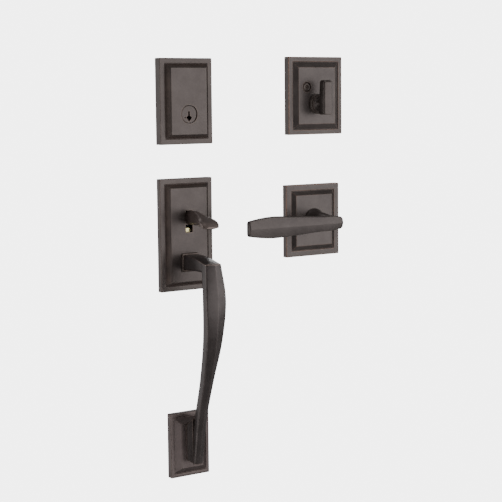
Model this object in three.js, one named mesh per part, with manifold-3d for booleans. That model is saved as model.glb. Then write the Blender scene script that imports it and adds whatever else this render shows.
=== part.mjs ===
// Front-door handleset laid out as its four trims on one door plane:
// an outside deadbolt, an outside thumb-latch pull, an inside deadbolt thumbturn and an inside lever.
//
// Millimetres. +X right, +Z up, the trims face -Y. The door face is the plane y = 0,
// and the origin is where the outside latch-bore axis meets it.

import * as THREE from 'three';
import { mergeVertices } from 'three/addons/utils/BufferGeometryUtils.js';
import Module from 'manifold-3d';

const wasm = await Module();
wasm.setup();

// ---------------------------------------------------------------- driving dimensions

const GAP = 0.3; // clearance left between pieces that rest on each other
const WALL = 1.8; // thickness of the cast covers
const FINE = 28; // sides of a large round
const COARSE = 12; // sides of a small round

// Backset-independent spacing of a front door's two bores.
const BORE_SPACING = 140;

// Each cover: place of its centre, outline, and how far border and panel stand off the door.
const DEADBOLT = { x: 0, z: 155, width: 70.2, height: 99.4, border: 6, edge: 10.7, run: 5.2, panel: 17 };
const HANDLE = { x: 0, z: 0, width: 70.8, height: 132, border: 6, edge: 7.1, run: 4.8, panel: 12.8 };
const LOWER = { x: 0, z: -250.4, width: 52.8, height: 77.4, border: 4.5, edge: 7.6, run: 6.8, panel: 12.7 };
const TURN = { x: 186, z: 159.8, width: 80.8, height: 94.8, border: 5.8, edge: 8.9, run: 6.8, panel: 12 };
const LEVER = { x: 182.3, z: 6.5, width: 80.4, height: 89.2, border: 7.5, edge: 7.2, run: 5.4, panel: 10 };
const GROOVE = 0.8; // depth and half-width of the groove inside each border
const EDGE_ROUND = 0.8; // chamfer of each cover's outer edge

// Backing plates stand just inside the rim of their covers.
const BACK = { front: -2.3, rear: -0.3 };

// Key cylinder.
const CYLINDER = { z: BORE_SPACING - DEADBOLT.z, faceRadius: 10.2, plugRadius: 8.4, flange: 1.7, rear: 8.8 };
const CYLINDER_FACE = -DEADBOLT.panel + 0.8;
const KEYWAY = { left: -1.2, right: 0.9, top: 3.4, bottom: -8, ward: 3.6, wardZ: -3.7, depth: 13.5 };
const TOOL_HOLE = { radius: 0.9, x: -5.3, z: -3.9 };
const TAILPIECE = { height: 6, width: 1.8, end: 45 };
const POST = { radius: 3.2, thread: 2.1, spacing: 30.4, rise: 20.8, end: 24 };

// Thumb piece and the latch lift behind it.
const PIVOT = { y: -8, z: 20, radius: 1.5 };
const SLOT = { half: 4.6, bottom: 3, top: 28.6 };
const TAIL = { half: 3.9, bottom: 11.5, top: 15.5, end: 3 };
const SLIDE = { front: 0.5, rear: 2.7, rise: 3.2 };
const HUB = { front: -8.5, rear: -5.5, radius: 7.8, barrel: 5.3, end: 8, crank: 9, square: 4.1 };
const CASE = { radius: 25.5, depth: 6, wall: 1.2 };

// Pull grip: its neck leaves the handle cover here, and its foot meets the lower cover.
const NECK = { z: -32, half: 9.5, base: -(HANDLE.panel + GAP) };
const FOOT_BASE = -(LOWER.panel + GAP);

// Inside thumbturn.
const TURN_AXIS = -10.1;
const PADDLE = { half: 6.3, top: 29.2, bottom: -12.8, rear: -23, front: -35.8 };

// Inside lever: reach from its axis to the tip, and past the axis on the other side.
const REACH = { tip: -127.3, heel: 9.5 };

// ---------------------------------------------------------------- finishes

function finish(color, roughness, metalness) {
  return new THREE.MeshStandardMaterial({ color, roughness, metalness });
}

const bronze = () => finish(0x4d4542, 0.42, 0.85);
const darkBronze = () => finish(0x3c3431, 0.45, 0.85);
const brass = () => finish(0xc9ba7c, 0.3, 0.95);
const steel = () => finish(0x9a9b9c, 0.35, 0.95);
const zinc = () => finish(0x83868a, 0.5, 0.9);

// ---------------------------------------------------------------- shape helpers

const at = (x, y, z) => new THREE.Vector3(x, y, z);

// Turns a closed skin the right way out.
function outward(geometry) {
  const p = geometry.attributes.position;
  const index = geometry.index.array;
  const [a, b, c] = [at(0, 0, 0), at(0, 0, 0), at(0, 0, 0)];
  let volume = 0;
  for (let i = 0; i < index.length; i += 3) {
    a.fromBufferAttribute(p, index[i]);
    b.fromBufferAttribute(p, index[i + 1]);
    c.fromBufferAttribute(p, index[i + 2]);
    volume += a.dot(b.cross(c));
  }
  if (volume < 0) {
    for (let i = 0; i < index.length; i += 3) {
      [index[i], index[i + 1]] = [index[i + 1], index[i]];
    }
  }
  return geometry;
}

// A closed skin through rings of equal point counts, with a flat cap at each end.
function loft(rings) {
  const count = rings[0].length;
  const index = [];
  for (let r = 0; r < rings.length - 1; r += 1) {
    for (let i = 0; i < count; i += 1) {
      const a = r * count + i;
      const b = r * count + ((i + 1) % count);
      index.push(a, b, a + count, b, b + count, a + count);
    }
  }
  const last = (rings.length - 1) * count;
  for (let i = 1; i < count - 1; i += 1) {
    index.push(0, i + 1, i, last, last + i, last + i + 1);
  }
  const geometry = new THREE.BufferGeometry();
  const coordinates = rings.flat().flatMap((v) => v.toArray());
  geometry.setAttribute('position', new THREE.Float32BufferAttribute(coordinates, 3));
  geometry.setIndex(index);
  return outward(geometry);
}

// A solid that can be joined to or cut from another.
function solid(geometry) {
  if (geometry instanceof wasm.Manifold) {
    return geometry;
  }
  const bare = geometry.clone();
  bare.deleteAttribute('normal');
  bare.deleteAttribute('uv');
  const merged = outward(mergeVertices(bare, 1e-4));
  const vertProperties = new Float32Array(merged.attributes.position.array);
  const triVerts = new Uint32Array(merged.index.array);
  return new wasm.Manifold(new wasm.Mesh({ numProp: 3, vertProperties, triVerts }));
}

const join = (first, ...others) => others.reduce((sum, other) => sum.add(solid(other)), solid(first));
const cut = (body, ...tools) => tools.reduce((rest, tool) => rest.subtract(solid(tool)), solid(body));

function geometryOf(shape) {
  if (!(shape instanceof wasm.Manifold)) {
    return shape;
  }
  const { vertProperties, triVerts } = shape.getMesh();
  const geometry = new THREE.BufferGeometry();
  geometry.setAttribute('position', new THREE.Float32BufferAttribute(vertProperties, 3));
  geometry.setIndex(new THREE.Uint32BufferAttribute(triVerts, 1));
  return geometry;
}

function piece(parent, name, material, shape) {
  const mesh = new THREE.Mesh(geometryOf(shape), material);
  mesh.name = name;
  parent.add(mesh);
  return mesh;
}

function trim(place) {
  const group = new THREE.Group();
  group.position.set(place.x, 0, place.z);
  return group;
}

const block = (x0, x1, y0, y1, z0, z1) =>
  new THREE.BoxGeometry(x1 - x0, y1 - y0, z1 - z0).translate((x0 + x1) / 2, (y0 + y1) / 2, (z0 + z1) / 2);

// A round bar square to the door.
const rod = (radius, y0, y1, x = 0, z = 0, sides = COARSE) =>
  new THREE.CylinderGeometry(radius, radius, y1 - y0, sides).translate(x, (y0 + y1) / 2, z);

// A turned piece about an axis square to the door; the profile is a list of [radius, y].
function turned(profile, x = 0, z = 0, sides = FINE) {
  const skin = new THREE.LatheGeometry(profile.map(([r, y]) => new THREE.Vector2(r, y)), sides);
  skin.deleteAttribute('normal');
  skin.deleteAttribute('uv');
  return outward(mergeVertices(skin, 1e-4)).translate(x, 0, z);
}

// A flat washer or clip.
const washer = (inner, outer, y0, y1, x = 0, z = 0) =>
  turned([[inner, y0], [outer, y0], [outer, y1], [inner, y1], [inner, y0]], x, z, FINE);

// A coil of round wire about an axis square to the door.
function coil(radius, wire, turns, y0, y1) {
  const points = [];
  const steps = turns * 10;
  for (let i = 0; i <= steps; i += 1) {
    const angle = (i / steps) * turns * 2 * Math.PI;
    points.push(at(radius * Math.cos(angle), y0 + ((y1 - y0) * i) / steps, radius * Math.sin(angle)));
  }
  const section = new THREE.Shape().absarc(0, 0, wire, 0, 2 * Math.PI);
  const extrudePath = new THREE.CatmullRomCurve3(points);
  return new THREE.ExtrudeGeometry(section, { steps, curveSegments: 3, bevelEnabled: false, extrudePath });
}

// A machine screw or post square to the door: a head, a shank and a driver recess or threaded bore.
function screw(head, shank, y0, y1, y2, x, z) {
  const dome = 0.5;
  const body = turned([
    [0, y0], [head * 0.7, y0], [head, y0 + dome], [head, y1], [shank, y1], [shank, y2], [0, y2],
  ], x, z, COARSE);
  const reach = head * 0.45;
  const arm = 0.45;
  const floor = y0 + 1.2;
  return cut(
    body,
    block(x - reach, x + reach, y0 - 1, floor, z - arm, z + arm),
    block(x - arm, x + arm, y0 - 1, floor, z - reach, z + reach),
  );
}

function post(x, z, end = POST.end) {
  const head = 5;
  const seat = BACK.front - GAP;
  const floor = end - 18;
  return turned([
    [0, seat - 2.4], [head, seat - 2.4], [head, seat], [POST.radius, seat],
    [POST.radius, end], [POST.thread, end], [POST.thread, floor], [0, floor],
  ], x, z, COARSE);
}

// Straight-line and smooth readings of a quantity along a list of stations.
function smooth(stations, key) {
  const points = stations.map((s) => at(s.along, s[key], 0));
  const curve = new THREE.CatmullRomCurve3(points, false, 'centripetal');
  return (t) => curve.getPoint(t);
}

// ---------------------------------------------------------------- covers

// Corner points of a rectangle set in from a cover's outline, at depth y.
function frame(cover, inset, y) {
  const x = cover.width / 2 - inset;
  const z = cover.height / 2 - inset;
  return [at(-x, y, -z), at(x, y, -z), at(x, y, z), at(-x, y, z)];
}

// Hollow cover: flat border, groove, mitred bevel and raised panel, open at the back.
function coverShell(cover) {
  const { border, edge, run, panel } = cover;
  const behindBorder = -edge + WALL + GROOVE;
  const outside = [
    [0, 0], [0, -edge + EDGE_ROUND], [EDGE_ROUND, -edge], [border, -edge],
    [border + GROOVE, -edge + GROOVE], [border + run, -panel],
  ];
  const inside = [
    [WALL, 0], [WALL, behindBorder], [border + 1.2, behindBorder], [border + run + 0.6, -panel + WALL],
  ];
  const profile = [...inside.reverse(), ...outside];
  return loft(profile.map(([inset, y]) => frame(cover, inset, y)));
}

// Flat backing plate that fills the cover's rim.
function backingPlate(cover, margin = 5) {
  const x = cover.width / 2 - margin;
  const z = cover.height / 2 - margin;
  return block(-x, x, BACK.front, BACK.rear, -z, z);
}

// ---------------------------------------------------------------- outside deadbolt

function keyPlug() {
  const { faceRadius, plugRadius, flange, rear } = CYLINDER;
  const face = CYLINDER_FACE;
  const stub = 4.6;
  const body = turned([
    [0, face], [faceRadius - 0.4, face], [faceRadius, face + 0.4], [faceRadius, face + flange],
    [plugRadius, face + flange], [plugRadius, 6], [stub, 6], [stub, rear], [0, rear],
  ]);
  const floor = face + KEYWAY.depth;
  const blade = block(KEYWAY.left, KEYWAY.right, face - 1, floor, KEYWAY.bottom, KEYWAY.top);
  const ward = new THREE.CylinderGeometry(KEYWAY.ward, KEYWAY.ward, KEYWAY.depth + 0.5, 4)
    .translate(0, floor - 0.5 - (KEYWAY.depth + 0.5) / 2, KEYWAY.wardZ);
  const toolHole = rod(TOOL_HOLE.radius, face - 1, face + 4, TOOL_HOLE.x, TOOL_HOLE.z, 8);
  const halfWidth = TAILPIECE.width / 2 + GAP;
  const halfHeight = TAILPIECE.height / 2 + GAP;
  const tailSlot = block(-halfWidth, halfWidth, rear - 3, rear + 1, -halfHeight, halfHeight);
  return cut(body, blade, ward, toolHole, tailSlot);
}

function outsideDeadbolt() {
  const group = trim(DEADBOLT);
  const z = CYLINDER.z;
  const holeRadius = CYLINDER.faceRadius + 0.5;
  const bodyFront = CYLINDER_FACE + CYLINDER.flange + GAP;
  const postX = POST.spacing / 2;
  const postZ = z + POST.rise;
  const front = -DEADBOLT.panel + WALL + GAP;
  const housing = { radius: 19, inner: CYLINDER.faceRadius + GAP, front, rear: 12 };

  piece(group, 'deadbolt_escutcheon', bronze(), cut(
    coverShell(DEADBOLT),
    rod(holeRadius, -30, 0, 0, z, FINE),
  ));
  piece(group, 'deadbolt_mounting_plate', steel(), cut(
    backingPlate(DEADBOLT),
    rod(housing.radius + GAP, -5, 2, 0, z, FINE),
    rod(POST.radius + GAP, -5, 2, -postX, postZ),
    rod(POST.radius + GAP, -5, 2, postX, postZ),
  ));
  piece(group, 'cylinder_housing', zinc(), turned([
    [housing.inner, housing.front], [housing.radius, housing.front], [housing.radius, housing.rear],
    [5.4, housing.rear], [5.4, 9.5], [housing.inner, 9.5], [housing.inner, housing.front],
  ], 0, z));
  piece(group, 'cylinder_body', darkBronze(), turned([
    [CYLINDER.plugRadius + GAP, bodyFront], [CYLINDER.faceRadius, bodyFront],
    [CYLINDER.faceRadius, CYLINDER.rear], [CYLINDER.plugRadius + GAP, CYLINDER.rear],
    [CYLINDER.plugRadius + GAP, bodyFront],
  ], 0, z));

  const core = new THREE.Group();
  core.position.set(0, 0, z);
  group.add(core);
  piece(core, 'key_plug', darkBronze(), keyPlug());
  piece(core, 'plug_clip', steel(), washer(4.6 + GAP, 7.4, 6 + GAP, 7.6));
  piece(core, 'tailpiece', zinc(), block(
    -TAILPIECE.width / 2, TAILPIECE.width / 2, CYLINDER.rear - 2.6, TAILPIECE.end,
    -TAILPIECE.height / 2, TAILPIECE.height / 2,
  ));
  piece(group, 'deadbolt_post_left', steel(), post(-postX, postZ));
  piece(group, 'deadbolt_post_right', steel(), post(postX, postZ));
  return group;
}

// ---------------------------------------------------------------- outside handle

// Thumb piece sections from the cover outwards: half-widths and heights of an eight-sided outline.
const THUMB_STATIONS = [
  { y: -10.6, top: 2.4, side: 3.9, heights: [12.6, 15.2, 24.2, 27.8] },
  { y: -20, top: 2.5, side: 4.1, heights: [12.4, 15.0, 24.8, 28.4] },
  { y: -28, top: 2.9, side: 4.9, heights: [12.4, 15.0, 24.8, 28.5] },
  { y: -35, top: 3.7, side: 6.2, heights: [12.5, 15.2, 23.4, 26.2] },
  { y: -42, top: 5.0, side: 8.2, heights: [12.2, 15.2, 22.0, 24.2] },
  { y: -49, top: 6.2, side: 10.2, heights: [11.4, 14.4, 20.6, 22.6] },
  { y: -54, top: 7.0, side: 11.2, heights: [10.6, 13.4, 19.0, 20.6] },
  { y: -58.5, top: 7.2, side: 11.2, heights: [10.0, 12.2, 16.8, 18.2] },
  { y: -61.4, top: 6.4, side: 10.2, heights: [10.0, 11.4, 14.2, 15.4] },
  { y: -63, top: 5.0, side: 8.6, heights: [10.6, 11.4, 12.6, 13.2] },
];

function thumbSection({ y, top, side, heights }) {
  const [keel, low, shoulder, crown] = heights;
  const keelHalf = side * 0.35;
  return [
    at(-keelHalf, y, keel), at(keelHalf, y, keel), at(side, y, low), at(side, y, shoulder),
    at(top, y, crown), at(-top, y, crown), at(-side, y, shoulder), at(-side, y, low),
  ];
}

function thumbPiece() {
  const outer = loft(THUMB_STATIONS.map(thumbSection));
  const cheek = block(-TAIL.half, TAIL.half, -10.8, -5.9, TAIL.bottom + 2, 24);
  const tail = block(-TAIL.half, TAIL.half, -7, TAIL.end, TAIL.bottom, TAIL.top);
  return cut(join(outer, cheek, tail), pivotRod(PIVOT.radius + GAP, -10, 10));
}

function latchHub() {
  const disc = rod(HUB.radius, HUB.front, HUB.rear, 0, 0, FINE);
  const ear = block(0, HUB.crank + 2, HUB.front, HUB.rear, -2.4, 2.4);
  const barrel = rod(HUB.barrel, HUB.rear - 1, HUB.end);
  const crankPin = rod(1.2, HUB.rear - 1, SLIDE.rear + 0.6, HUB.crank, 0, 12);
  const half = HUB.square / Math.SQRT2;
  const spindleHole = block(-half, half, -5, HUB.end + 1, -half, half);
  return cut(join(disc, ear, barrel, crankPin), spindleHole);
}

function liftSlide() {
  const { front, rear } = SLIDE;
  const plate = block(-7.5, 12, front, rear, -13, 18.4);
  const barrelSlot = block(-HUB.barrel - 0.4, HUB.barrel + 0.4, -5, 9, -6 - SLIDE.rise - 0.5, 6);
  const tailWindow = block(-TAIL.half - 0.6, TAIL.half + 0.6, -5, 9, 9, TAIL.top + 0.4);
  const crankSlot = block(HUB.crank - 2.1, HUB.crank + 1.8, -5, 9, -1.6, 1.6);
  return cut(plate, barrelSlot, tailWindow, crankSlot);
}

function handleBackingPlate(postX) {
  const ear = (x0) => block(x0, x0 + 1.8, PIVOT.y - 2, BACK.front + 0.5, PIVOT.z - 5, PIVOT.z + 4);
  const plate = cut(
    backingPlate(HANDLE),
    rod(12.2, -5, 2, 0, 0, FINE),
    block(-5, 5, -5, 2, 5, 21),
    rod(POST.radius + GAP, -5, 2, -postX, 0),
    rod(POST.radius + GAP, -5, 2, postX, 0),
  );
  return cut(join(plate, ear(5.3), ear(-7.1)), pivotRod(PIVOT.radius + GAP, -10, 10));
}

function latchCase(postX) {
  const { radius, depth, wall } = CASE;
  const hubHole = HUB.barrel + 0.6;
  const pan = turned([
    [radius, 0], [radius, depth], [hubHole, depth], [hubHole, depth - wall],
    [radius - wall, depth - wall], [radius - wall, 0], [radius, 0],
  ]);
  return cut(pan, rod(POST.radius + GAP, 3, 9, -postX, 0), rod(POST.radius + GAP, 3, 9, postX, 0));
}

// Torsion spring wound on the pivot pin beside the right-hand ear.
const thumbSpring = () => coil(2.2, 0.35, 4, 7.8, 11)
  .rotateZ(-Math.PI / 2)
  .translate(0, PIVOT.y, PIVOT.z);

// Round bar along the thumb piece's pivot axis.
const pivotRod = (radius, x0, x1) => rod(radius, x0, x1).rotateZ(Math.PI / 2).translate(0, PIVOT.y, PIVOT.z);

// Grip sections from its top to its foot: half-width, and how far its back,
// corners and ridge stand off the door.
const GRIP_STATIONS = [
  { along: -29.8, half: 10.3, back: -54.5, corner: -65.6, ridge: -69.6 },
  { along: -68, half: 13.3, back: -60.9, corner: -70.9, ridge: -74.7 },
  { along: -116, half: 10.9, back: -56.5, corner: -67.0, ridge: -71.0 },
  { along: -168, half: 7.0, back: -41.8, corner: -52.2, ridge: -56.0 },
  { along: -216, half: 6.0, back: -27.6, corner: -37.0, ridge: -39.8 },
  { along: -271, half: 5.8, back: -21.6, corner: -26.8, ridge: -28.6 },
];

// Outline of a bar with flat sides, eased back corners and a front of two facets meeting in a ridge.
function barSection(half, back, corner, ridge) {
  const ease = 1.5;
  return [
    [-half + ease, back], [-half, back - ease], [-half, corner], [0, ridge],
    [half, corner], [half, back - ease], [half - ease, back],
  ];
}

function gripBar() {
  const read = (key) => smooth(GRIP_STATIONS, key);
  const [half, back, corner, ridge] = ['half', 'back', 'corner', 'ridge'].map(read);
  const steps = 20;
  const rings = [];
  for (let i = 0; i <= steps; i += 1) {
    const t = i / steps;
    const section = barSection(half(t).y, back(t).y, corner(t).y, ridge(t).y);
    rings.push(section.map(([x, y]) => at(x, y, half(t).x)));
  }
  return loft(rings);
}

// Neck sections from the cover to the grip: the top arches down towards the front.
const NECK_STATIONS = [
  { y: NECK.base, half: NECK.half, top: -22.8, crown: 0.2, bottom: -41 },
  { y: -29, half: NECK.half, top: -23.4, crown: 1.1, bottom: -40.2 },
  { y: -44, half: 9.9, top: -25.4, crown: 1.1, bottom: -39.8 },
  { y: -56, half: 10.2, top: -28.0, crown: 1.1, bottom: -40.6 },
  { y: -64, half: 10.2, top: -29.7, crown: 1.1, bottom: -44 },
];

const gripNeck = () => loft(NECK_STATIONS.map(({ y, half, top, crown, bottom }) => [
  at(-half, y, top), at(0, y, top + crown), at(half, y, top), at(half, y, bottom + 1.5),
  at(half - 1.5, y, bottom), at(1.5 - half, y, bottom), at(-half, y, bottom + 1.5),
]));

// Foot sections from the lower cover to the grip.
const FOOT_STATIONS = [
  { y: FOOT_BASE, half: 8.4, top: -225, bottom: -268 },
  { y: -16.5, half: 7.4, top: -222.5, bottom: -268.6 },
  { y: -24.5, half: 6.0, top: -216, bottom: -270 },
];

const gripFoot = () => loft(FOOT_STATIONS.map(({ y, half, top, bottom }) => [
  at(-half, y, bottom), at(half, y, bottom), at(half, y, top), at(-half, y, top),
]));

function gripHandle() {
  const screwHole = rod(2.75, -27, -5, 0, NECK.z);
  const studHole = rod(3.3, -20, -5, 0, LOWER.z);
  return cut(join(gripBar(), gripNeck(), gripFoot()), screwHole, studHole);
}

// Collar around the root of the neck.
function gripCollar() {
  const outer = { width: 22.6, height: 21.8 };
  const inner = NECK.half + GAP;
  const levels = [[0, NECK.base], [0, NECK.base - 1.2], [1, NECK.base - 2.2]];
  const body = loft(levels.map(([inset, y]) => frame(outer, inset, y)));
  return cut(body, block(-inner, inner, -20, -10, -9 - GAP, 9.4 + GAP)).translate([0, 0, NECK.z]);
}

function outsideHandle() {
  const group = trim(HANDLE);
  const postX = 18.5;
  piece(group, 'handle_escutcheon', bronze(), cut(
    coverShell(HANDLE),
    block(-SLOT.half, SLOT.half, -20, -5, SLOT.bottom, SLOT.top),
    rod(2.8, -20, -5, 0, NECK.z),
  ));
  piece(group, 'handle_mounting_plate', steel(), handleBackingPlate(postX));
  piece(group, 'latch_case', zinc(), latchCase(postX));
  piece(group, 'handle_post_left', steel(), post(-postX, 0));
  piece(group, 'handle_post_right', steel(), post(postX, 0));
  piece(group, 'thumb_piece', darkBronze(), thumbPiece());
  piece(group, 'thumb_pivot_pin', steel(), pivotRod(PIVOT.radius, -11.4, 11.4));
  piece(group, 'thumb_return_spring', steel(), thumbSpring());
  piece(group, 'lift_slide', zinc(), liftSlide());
  piece(group, 'latch_hub', brass(), latchHub());
  piece(group, 'hub_clip', steel(), washer(HUB.barrel + GAP, 8, CASE.depth + GAP, CASE.depth + 1.3));
  piece(group, 'grip_handle', bronze(), gripHandle());
  piece(group, 'grip_collar', darkBronze(), gripCollar());
  piece(group, 'grip_top_screw', steel(), screw(4.5, 2.4, -7.4, -10.7, -26, 0, NECK.z));
  return group;
}

function lowerCover() {
  const group = trim(LOWER);
  const stud = 3;
  piece(group, 'lower_escutcheon', bronze(), cut(coverShell(LOWER), rod(stud + GAP, -20, -5)));
  piece(group, 'lower_backing_plate', steel(), cut(backingPlate(LOWER), rod(stud + GAP, -5, 2)));
  piece(group, 'lower_stud', steel(), rod(stud, -19, 30));
  const nut = new THREE.CylinderGeometry(6, 6, 4, 6).translate(0, BACK.front - GAP - 2, 0);
  piece(group, 'lower_nut', steel(), cut(nut, rod(stud + GAP, -20, 5)));
  return group;
}

// ---------------------------------------------------------------- inside deadbolt

function paddle() {
  const { half, top, bottom, rear, front } = PADDLE;
  const ease = 1.2;
  const slice = (x, inset) => [
    at(x, rear - inset, bottom + inset), at(x, front + inset, bottom + inset),
    at(x, front + inset, top - 2.2 - 2 * inset), at(x, front + 2.2 + inset, top - 2 * inset),
    at(x, rear - 2.4 - inset, top - 0.6 - 2 * inset),
  ];
  return loft([slice(-half, ease), slice(-half + ease, 0), slice(half - ease, 0), slice(half, ease)]);
}

function thumbturn() {
  const hub = turned([
    [0, -6.4], [7, -6.4], [7, -15.7], [10, -15.7], [10, -17.2], [9, -18],
    [7, -18.6], [6.2, -19.8], [5.6, -24.5], [0, -24.5],
  ]);
  const half = 2.6;
  return cut(join(hub, paddle()), block(-half, half, -20.4, 0, -half, half));
}

function insideDeadbolt() {
  const group = trim(TURN);
  const screwX = POST.spacing / 2;
  const screwZ = TURN_AXIS + POST.rise;
  const seat = -TURN.panel + 2;
  const boss = (x) => rod(7.4, seat - 0.8, seat + 3.2, x, screwZ);
  const pocket = (x) => join(rod(5.9, -20, seat, x, screwZ, FINE), rod(2.9, -20, 0, x, screwZ));
  piece(group, 'thumbturn_rose', bronze(), cut(
    join(coverShell(TURN), boss(-screwX), boss(screwX)),
    pocket(-screwX), pocket(screwX), rod(7.4, -20, 0, 0, TURN_AXIS, FINE),
  ));
  piece(group, 'thumbturn_backing_plate', steel(), cut(
    backingPlate(TURN),
    rod(4.5, -5, 2, 0, TURN_AXIS), rod(2.9, -5, 2, -screwX, screwZ), rod(2.9, -5, 2, screwX, screwZ),
  ));
  const collarBack = -TURN.panel - GAP;
  piece(group, 'thumbturn_collar', darkBronze(), turned([
    [7.4, collarBack], [12.1, collarBack], [12.1, collarBack - 1.6], [11.2, collarBack - 2.4],
    [10.6, collarBack - 3.1], [7.4, collarBack - 3.1], [7.4, collarBack],
  ], 0, TURN_AXIS));

  const turning = new THREE.Group();
  turning.position.set(0, 0, TURN_AXIS);
  group.add(turning);
  piece(turning, 'thumbturn', darkBronze(), thumbturn());
  piece(turning, 'thumbturn_clip', steel(), washer(7 + GAP, 10, -8.4, -7.4));
  piece(turning, 'thumbturn_spindle', steel(), block(-2.25, 2.25, -20, 34, -2.25, 2.25));
  piece(group, 'thumbturn_washer', steel(), washer(7 + GAP, 10.6, -9.7, -8.8, 0, TURN_AXIS));
  piece(group, 'rose_screw_left', darkBronze(), screw(5.3, 2.5, seat - 2.2, seat - GAP, 24, -screwX, screwZ));
  piece(group, 'rose_screw_right', darkBronze(), screw(5.3, 2.5, seat - 2.2, seat - GAP, 24, screwX, screwZ));
  return group;
}

// ---------------------------------------------------------------- inside lever

// Blade sections from tip to heel: half-height, and how far its back, corners
// and ridge stand off the door.
const BLADE_STATIONS = [
  { along: REACH.tip - 1.8, half: 6.4, back: -53.8, corner: -57.4, ridge: -58.4 },
  { along: REACH.tip, half: 9.3, back: -53.4, corner: -59.0, ridge: -60.6 },
  { along: -113.7, half: 11.3, back: -52.6, corner: -59.4, ridge: -61.6 },
  { along: -97.7, half: 12.7, back: -51.6, corner: -59.6, ridge: -62.2 },
  { along: -64.7, half: 11.4, back: -49.8, corner: -59.4, ridge: -62.0 },
  { along: -28.7, half: 9.3, back: -48.2, corner: -58.8, ridge: -61.0 },
  { along: 3.3, half: 7.9, back: -47.4, corner: -58.0, ridge: -59.8 },
  { along: REACH.heel - 2, half: 6.6, back: -48.6, corner: -57.4, ridge: -59.0 },
  { along: REACH.heel, half: 3.6, back: -50.4, corner: -56.2, ridge: -57.4 },
];

const leverBlade = () => loft(BLADE_STATIONS.map(({ along, half, back, corner, ridge }) =>
  barSection(half, back, corner, ridge).map(([z, y]) => at(along, y, z))));

const SPINDLE_HALF = 3.8;

// A round bar standing upright at depth y, its middle at height z.
const uprightRod = (radius, length, y, z) =>
  new THREE.CylinderGeometry(radius, radius, length, COARSE).rotateX(Math.PI / 2).translate(0, y, z);

function leverHandle() {
  const base = -LEVER.panel - GAP;
  const neck = turned([
    [0, 2.2], [7.2, 2.2], [7.2, -14.4], [10.2, -14.4], [10.2, base], [14.5, base],
    [14.5, base - 1.6], [13, base - 4.6], [11.3, -20.4], [10, -30], [8.2, -42], [7.6, -50], [0, -50],
  ]);
  const hole = SPINDLE_HALF + GAP;
  const squareHole = block(-hole, hole, -34.4, 4, -hole, hole);
  return cut(join(neck, leverBlade()), squareHole, uprightRod(2.8, 16, -20, -11.8));
}

function insideLever() {
  const group = trim(LEVER);
  const boltX = 20;
  const hole = SPINDLE_HALF + GAP;
  const housing = { radius: 25.5, inner: 24.3, depth: 9 };
  piece(group, 'lever_rose', bronze(), cut(coverShell(LEVER), rod(10.3, -20, 0, 0, 0, FINE)));
  piece(group, 'lever_backing_plate', steel(), cut(
    backingPlate(LEVER, 12.4),
    rod(10.3, -5, 2, 0, 0, FINE), rod(2.9, -5, 2, -boltX, 0), rod(2.9, -5, 2, boltX, 0),
  ));
  piece(group, 'lever_bushing', brass(), turned([
    [7.5, -13.9], [9.9, -13.9], [9.9, -0.2], [7.5, -0.2], [7.5, -13.9],
  ]));
  piece(group, 'lever_spring_housing', zinc(), cut(
    turned([
      [housing.radius, 0], [housing.radius, housing.depth], [6, housing.depth], [6, housing.depth - 1.2],
      [housing.inner, housing.depth - 1.2], [housing.inner, 0], [housing.radius, 0],
    ]),
    rod(2.9, 6, 12, -boltX, 0), rod(2.9, 6, 12, boltX, 0),
  ));
  piece(group, 'lever_return_spring', steel(), coil(12, 0.7, 2, 1.6, 4.6));
  piece(group, 'lever_bolt_left', steel(), screw(4.2, 2.5, -4.2, BACK.front - GAP, 22, -boltX, 0));
  piece(group, 'lever_bolt_right', steel(), screw(4.2, 2.5, -4.2, BACK.front - GAP, 22, boltX, 0));

  piece(group, 'lever_handle', bronze(), leverHandle());
  piece(group, 'lever_spindle', steel(), block(
    -SPINDLE_HALF, SPINDLE_HALF, -34, 38, -SPINDLE_HALF, SPINDLE_HALF,
  ));
  piece(group, 'lever_retaining_ring', steel(), washer(7.2 + GAP, 10, 0.3, 1.5));
  piece(group, 'lever_return_cam', zinc(), cut(
    join(rod(9, 5.6, 7.2, 0, 0, FINE), block(-3, 3, 5.6, 7.2, -15, 15)),
    block(-hole, hole, 5, 8, -hole, hole),
  ));
  piece(group, 'lever_set_screw', steel(), uprightRod(2.5, 6, -20, -8));
  return group;
}

// ---------------------------------------------------------------- whole set

const handleset = new THREE.Group();
handleset.add(outsideDeadbolt(), outsideHandle(), lowerCover(), insideDeadbolt(), insideLever());

export default handleset;
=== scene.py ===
"""Front-door handleset in aged bronze: keyed deadbolt, thumb-latch pull, thumbturn and inside lever.

Metres, +Z up, the trims face -Y. Sizes in the functions are millimetres; MM turns them into metres.
"""

import math

import bmesh
import bpy
from mathutils import Matrix, Vector


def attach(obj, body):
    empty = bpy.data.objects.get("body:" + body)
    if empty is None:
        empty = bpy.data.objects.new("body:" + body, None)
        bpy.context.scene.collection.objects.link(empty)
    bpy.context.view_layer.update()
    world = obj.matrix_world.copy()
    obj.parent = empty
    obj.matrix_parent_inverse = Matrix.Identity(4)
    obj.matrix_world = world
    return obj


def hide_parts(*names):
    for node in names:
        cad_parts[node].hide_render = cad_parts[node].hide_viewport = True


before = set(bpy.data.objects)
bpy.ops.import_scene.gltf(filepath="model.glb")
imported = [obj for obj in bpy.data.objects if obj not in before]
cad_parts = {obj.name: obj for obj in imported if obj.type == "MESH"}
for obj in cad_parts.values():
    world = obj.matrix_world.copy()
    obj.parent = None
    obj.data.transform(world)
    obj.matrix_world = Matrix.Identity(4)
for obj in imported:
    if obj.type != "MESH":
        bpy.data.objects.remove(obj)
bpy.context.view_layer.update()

MM = 0.001
CREASE = math.radians(32)  # surfaces meeting at more than this stay crisp
COVER_CREASE = math.radians(28)


# ---------------------------------------------------------------- driving sizes

def plate(x, z, width, height, border, edge, run, panel):
    """A stepped cover. Its flat border stands edge off the door, its panel stands panel off the door,
    and run is the width of the groove and bevel between them."""
    return dict(x=x, z=z, width=width, height=height, border=border, edge=edge, run=run, panel=panel)


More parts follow.
